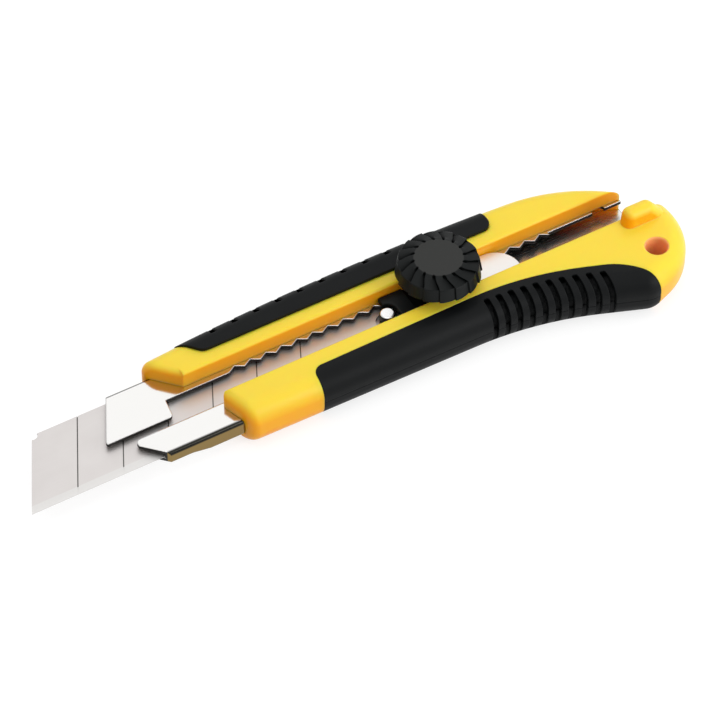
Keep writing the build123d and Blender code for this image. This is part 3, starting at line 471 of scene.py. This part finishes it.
sector = bmesh.new()
groove = sector.verts.layers.float.new("groove")
rows = []
for part, radius, height in levels:
    row = []
    for share in shares:
        wall = max(1 - share / step_share, 0.0)
        angle = lobe_start + share * lobe_turn
        reach, level, fall = radius, height, 0.0
        if part == "top":
            out = ease(radius, disc_radius, rim_radius)
            fall = max(top_fall(radius, share), wall * top_fall(radius, 1.0))
            level -= fall + max(radius - disc_radius, 0.0) * cone_slope
            angle += swirl * (out - 1)
            reach -= out * rim_fall(share, wall)
        elif part == "side":
            reach -= rim_fall(share, wall)
        vert = sector.verts.new((reach * math.cos(angle), reach * math.sin(angle), level))
        vert[groove] = max(fall / top_step, wall if part == "side" else 0.0)
        row.append(vert)
    rows.append(row)
for upper, lower in zip(rows, rows[1:]):
    for i in range(len(shares) - 1):
        sector.faces.new((upper[i], lower[i], lower[i + 1], upper[i + 1]))
sector_mesh = bpy.data.meshes.new("wheel lobe")
sector.to_mesh(sector_mesh)
sector.free()

# Moulded black nylon: dark charcoal. The disc has a fine spark-eroded texture that catches light
# evenly, the lobes are smoother and darker, and the pockets and steps between them are painted black as
# shade.
nylon_black, tree, place = start_material("moulded black nylon")
centred = add_node(tree, "ShaderNodeVectorMath", {
    0: place.outputs["Object"], 1: wheel_axis}, operation="SUBTRACT")
level = add_node(tree, "ShaderNodeVectorMath", {
    0: centred.outputs[0], 1: (1.0, 1.0, 0.0)}, operation="MULTIPLY")
radius = add_node(tree, "ShaderNodeVectorMath", {0: level.outputs[0]}, operation="LENGTH")
disc = add_node(tree, "ShaderNodeMapRange", {
    "Value": radius.outputs["Value"], "From Min": disc_radius + 0.1 * mm,
    "From Max": disc_radius - 0.3 * mm}, interpolation_type="SMOOTHSTEP")
spark = add_node(tree, "ShaderNodeTexNoise", {
    "Vector": place.outputs["Object"], "Scale": 1 / (0.28 * mm), "Detail": 3.0})
cut = add_node(tree, "ShaderNodeAttribute", attribute_name="groove")
skin = add_node(tree, "ShaderNodeMix", {
    "Factor": disc.outputs["Result"], "A": linear("#101313"), "B": linear("#222321")}, data_type="RGBA")
# Painted shade: the pockets and steps are darkened to near black and lose their specular, by the groove depth
# stored in them.
tone = add_node(tree, "ShaderNodeMix", {
    "Factor": cut.outputs["Fac"], "A": skin.outputs["Result"], "B": linear("#050606")}, data_type="RGBA")
rough = add_node(tree, "ShaderNodeMix", {"Factor": disc.outputs["Result"], "A": 0.42, "B": 0.6})
sheen = add_node(tree, "ShaderNodeMix", {"Factor": disc.outputs["Result"], "A": 0.14, "B": 0.33})
shine = add_node(tree, "ShaderNodeMix", {
    "Factor": cut.outputs["Fac"], "A": sheen.outputs["Result"], "B": 0.0})
depth = add_node(tree, "ShaderNodeMapRange", {
    "Value": disc.outputs["Result"], "To Min": 0.05, "To Max": 0.35})
edge = add_node(tree, "ShaderNodeBevel", {"Radius": 0.15 * mm}, samples=6)
bump = add_node(tree, "ShaderNodeBump", {
    "Height": spark.outputs["Fac"], "Strength": depth.outputs["Result"], "Distance": 0.06 * mm,
    "Normal": edge.outputs["Normal"]})
surface = add_node(tree, "ShaderNodeBsdfPrincipled", {
    "Base Color": tone.outputs["Result"], "Roughness": rough.outputs["Result"],
    "Normal": bump.outputs["Normal"], "IOR": 1.53, "Specular IOR Level": shine.outputs["Result"]})
add_node(tree, "ShaderNodeOutputMaterial", {"Surface": surface.outputs[0]})

ring_tree = bpy.data.node_groups.new("lobes round the wheel", "GeometryNodeTree")
for name, kind in (("Lobe", "Geometry"), ("Lobes", "Int"), ("Axis", "Vector"), ("Material", "Material")):
    ring_tree.interface.new_socket(name, in_out="INPUT", socket_type="NodeSocket" + kind)
ring_tree.interface.new_socket("Wheel", in_out="OUTPUT", socket_type="NodeSocketGeometry")
given = add_node(ring_tree, "NodeGroupInput")
points = add_node(ring_tree, "GeometryNodeMeshLine", {"Count": given.outputs["Lobes"], "Offset": (0, 0, 0)})
index = add_node(ring_tree, "GeometryNodeInputIndex")
turn = add_node(ring_tree, "ShaderNodeMath", {0: 2 * math.pi, 1: given.outputs["Lobes"]}, operation="DIVIDE")
angle = add_node(ring_tree, "ShaderNodeMath", {0: index.outputs[0], 1: turn.outputs[0]}, operation="MULTIPLY")
spin = add_node(ring_tree, "ShaderNodeCombineXYZ", {"Z": angle.outputs[0]})
ring = add_node(ring_tree, "GeometryNodeInstanceOnPoints", {
    "Points": points.outputs["Mesh"], "Instance": given.outputs["Lobe"], "Rotation": spin.outputs[0]})
moved = add_node(ring_tree, "GeometryNodeTranslateInstances", {
    "Instances": ring.outputs[0], "Translation": given.outputs["Axis"], "Local Space": False})
real = add_node(ring_tree, "GeometryNodeRealizeInstances", {"Geometry": moved.outputs[0]})
joined = add_node(ring_tree, "GeometryNodeMergeByDistance", {
    "Geometry": real.outputs[0], "Distance": merge_reach})
coated = add_node(ring_tree, "GeometryNodeSetMaterial", {
    "Geometry": joined.outputs[0], "Material": given.outputs["Material"]})
add_node(ring_tree, "NodeGroupOutput", {"Wheel": coated.outputs[0]})

wheel_lobe = bpy.data.objects.new("wheel_lobe", sector_mesh)
scene.collection.objects.link(wheel_lobe)
rounds = wheel_lobe.modifiers.new("lobes", "NODES")
rounds.node_group = ring_tree
sockets = {s.name: s.identifier for s in ring_tree.interface.items_tree if s.in_out == "INPUT"}
rounds[sockets["Lobes"]] = lobes
rounds[sockets["Axis"]] = wheel_axis
rounds[sockets["Material"]] = nylon_black
wheel_mesh = bpy.data.meshes.new_from_object(
    wheel_lobe.evaluated_get(bpy.context.evaluated_depsgraph_get()))
wheel_lobe.modifiers.clear()
bpy.data.objects.remove(wheel_lobe)
closed = bmesh.new()
closed.from_mesh(wheel_mesh)
bmesh.ops.dissolve_degenerate(closed, dist=snap_reach, edges=closed.edges)
bmesh.ops.recalc_face_normals(closed, faces=closed.faces)
closed.to_mesh(wheel_mesh)
closed.free()
seat(wheel_mesh, "lock_wheel", nylon_black, "wheel", smooth_angle=40)


# Rack dog and guide shoe: the same nylon. The toothed dog reaches round the blade pin in front of
# the lock plate, and the shoe is pegged under the plate's rear.
seat(merged_copy("rack_dog"), "rack_dog", nylon_black, "lock")
seat(merged_copy("guide_shoe"), "guide_shoe", nylon_black, "lock")


# Wheel nut: a flanged brass insert, turned and tapped. The wheel is moulded round it, and its neck
# goes down through the washer and the lock plate, which hangs on it.

ring_pitch = 0.25 * mm

# Turned brass: yellow metal with the lathe's fine rings, drawn far enough apart to show.
brass, tree, place = start_material("turned brass")
centred = add_node(tree, "ShaderNodeVectorMath", {
    0: place.outputs["Object"], 1: wheel_axis}, operation="SUBTRACT")
rings_cut = add_node(tree, "ShaderNodeTexWave", {
    "Vector": centred.outputs[0], "Scale": 1 / (2 * ring_pitch), "Distortion": 0.4},
    wave_type="RINGS", rings_direction="Z")
rough = add_node(tree, "ShaderNodeMapRange", {
    "Value": rings_cut.outputs["Fac"], "To Min": 0.18, "To Max": 0.32})
bump = add_node(tree, "ShaderNodeBump", {
    "Height": rings_cut.outputs["Fac"], "Strength": 0.15, "Distance": 0.03 * mm})
surface = add_node(tree, "ShaderNodeBsdfPrincipled", {
    "Base Color": linear("#D2AB5A"), "Metallic": 1.0, "Roughness": rough.outputs["Result"],
    "Normal": bump.outputs["Normal"]})
add_node(tree, "ShaderNodeOutputMaterial", {"Surface": surface.outputs[0]})
seat(merged_copy("wheel_nut"), "wheel_nut", brass, "wheel")


# Thrust washer: a white acetal ring, moulded, loose on the nut's neck between the wheel's hub and
# the lock plate, so that the wheel turns freely on the plate.

# Acetal: milky white, slightly waxy, with a faint cloud in it.
acetal, tree, place = start_material("moulded white acetal")
cloud = add_node(tree, "ShaderNodeTexNoise", {
    "Vector": place.outputs["Object"], "Scale": 1 / (2 * mm), "Detail": 2.0})
tone = add_node(tree, "ShaderNodeMix", {
    "Factor": cloud.outputs["Fac"], "A": linear("#DDDCD6"), "B": linear("#EBEAE5")}, data_type="RGBA")
rough = add_node(tree, "ShaderNodeMapRange", {"Value": cloud.outputs["Fac"], "To Min": 0.38, "To Max": 0.5})
surface = add_node(tree, "ShaderNodeBsdfPrincipled", {
    "Base Color": tone.outputs["Result"], "Roughness": rough.outputs["Result"], "IOR": 1.48})
add_node(tree, "ShaderNodeOutputMaterial", {"Surface": surface.outputs[0]})
seat(merged_copy("thrust_washer"), "thrust_washer", acetal, "wheel")


# Floor: a sheet of white paper, a hair lower than the underside so that the two don't mix. It looks
# white to the eye and in the metal, and keeps a soft shadow.
floor_half, floor_level = 6.0, -0.02 * mm
corners = [(x * floor_half, y * floor_half, floor_level)
           for x, y in ((-1, -1), (1, -1), (1, 1), (-1, 1))]
floor_mesh = bpy.data.meshes.new("floor")
floor_mesh.from_pydata(corners, [], [(0, 1, 2, 3)])
floor = bpy.data.objects.new("floor", floor_mesh)
scene.collection.objects.link(floor)
paper, tree, place = start_material("white paper sheet")
rays = add_node(tree, "ShaderNodeLightPath")
seen = add_node(tree, "ShaderNodeMath", {
    0: rays.outputs["Is Camera Ray"], 1: rays.outputs["Is Glossy Ray"]}, operation="MAXIMUM")
seen = add_node(tree, "ShaderNodeMath", {
    0: seen.outputs[0], 1: rays.outputs["Is Transmission Ray"]}, operation="MAXIMUM")
sheet = add_node(tree, "ShaderNodeBsdfDiffuse", {"Color": linear("#DCD9D4")})
shade = add_node(tree, "ShaderNodeBsdfDiffuse", {"Color": (0.34, 0.34, 0.34, 1)})
glow = add_node(tree, "ShaderNodeEmission", {"Color": (1, 1, 1, 1), "Strength": 0.74})
lit = add_node(tree, "ShaderNodeAddShader", {0: shade.outputs[0], 1: glow.outputs[0]})
surface = add_node(tree, "ShaderNodeMixShader", {
    0: seen.outputs[0], 1: sheet.outputs[0], 2: lit.outputs[0]})
add_node(tree, "ShaderNodeOutputMaterial", {"Surface": surface.outputs[0]})
floor_mesh.materials.append(paper)


# Light: a pale studio that is brighter overhead and behind the knife, a large soft lamp overhead,
# a faint panel high behind the knife, which the flat steel faces show to the camera, and a soft
# lamp low at the butt's side, which brings up the sides.
lamp_target = Vector((-0.09, 0.015, 0.0))
world = bpy.data.worlds.new("studio")
world.use_nodes = True
scene.world = world
tree = world.node_tree
sky = add_node(tree, "ShaderNodeTexCoord")
lean = add_node(tree, "ShaderNodeVectorMath", {
    0: sky.outputs["Object"], 1: (0.25, 0.43, 0.87)}, operation="DOT_PRODUCT")
grade = add_node(tree, "ShaderNodeMapRange", {
    "Value": lean.outputs["Value"], "From Min": 0.0, "From Max": 0.75, "To Min": 0.40, "To Max": 0.90},
    interpolation_type="SMOOTHSTEP")
tree.links.new(grade.outputs["Result"], tree.nodes["Background"].inputs["Strength"])
tree.nodes["Background"].inputs["Color"].default_value = (1, 1, 1, 1)
for name, spot, watts, width in (
        ("overhead lamp", (-0.16, 0.0, 1.05), 1.0, 0.5),
        ("back panel", (0.243, 0.588, 0.76), 0.42, 0.58),
        ("side lamp", (0.44, -0.72, 0.42), 5.2, 0.6)):
    lamp = bpy.data.lights.new(name, "AREA")
    lamp.size = width
    lamp.energy = watts
    holder = bpy.data.objects.new(name, lamp)
    scene.collection.objects.link(holder)
    holder.location = spot
    holder.rotation_euler = (lamp_target - holder.location).to_track_quat("-Z", "Y").to_euler()


# Camera: a long lens at the photograph's view, from the cutting-edge side and ahead, looking down on
# the knife.
camera_spot = (-0.46045, -0.62111, 0.83370)
camera_turn, camera_height = math.radians(-120.1797), math.radians(48.4608)
lens = bpy.data.cameras.new("camera")
lens.sensor_width = 36.0
lens.lens = 197.16
lens.clip_start = 0.05
lens.clip_end = 20.0
camera = bpy.data.objects.new("camera", lens)
scene.collection.objects.link(camera)
facing_down = Euler((math.pi / 2 - camera_height, 0.0, math.pi / 2 + camera_turn))
camera.matrix_world = Matrix.Translation(camera_spot) @ facing_down.to_matrix().to_4x4()
scene.camera = camera
scene.view_settings.view_transform = "Standard"
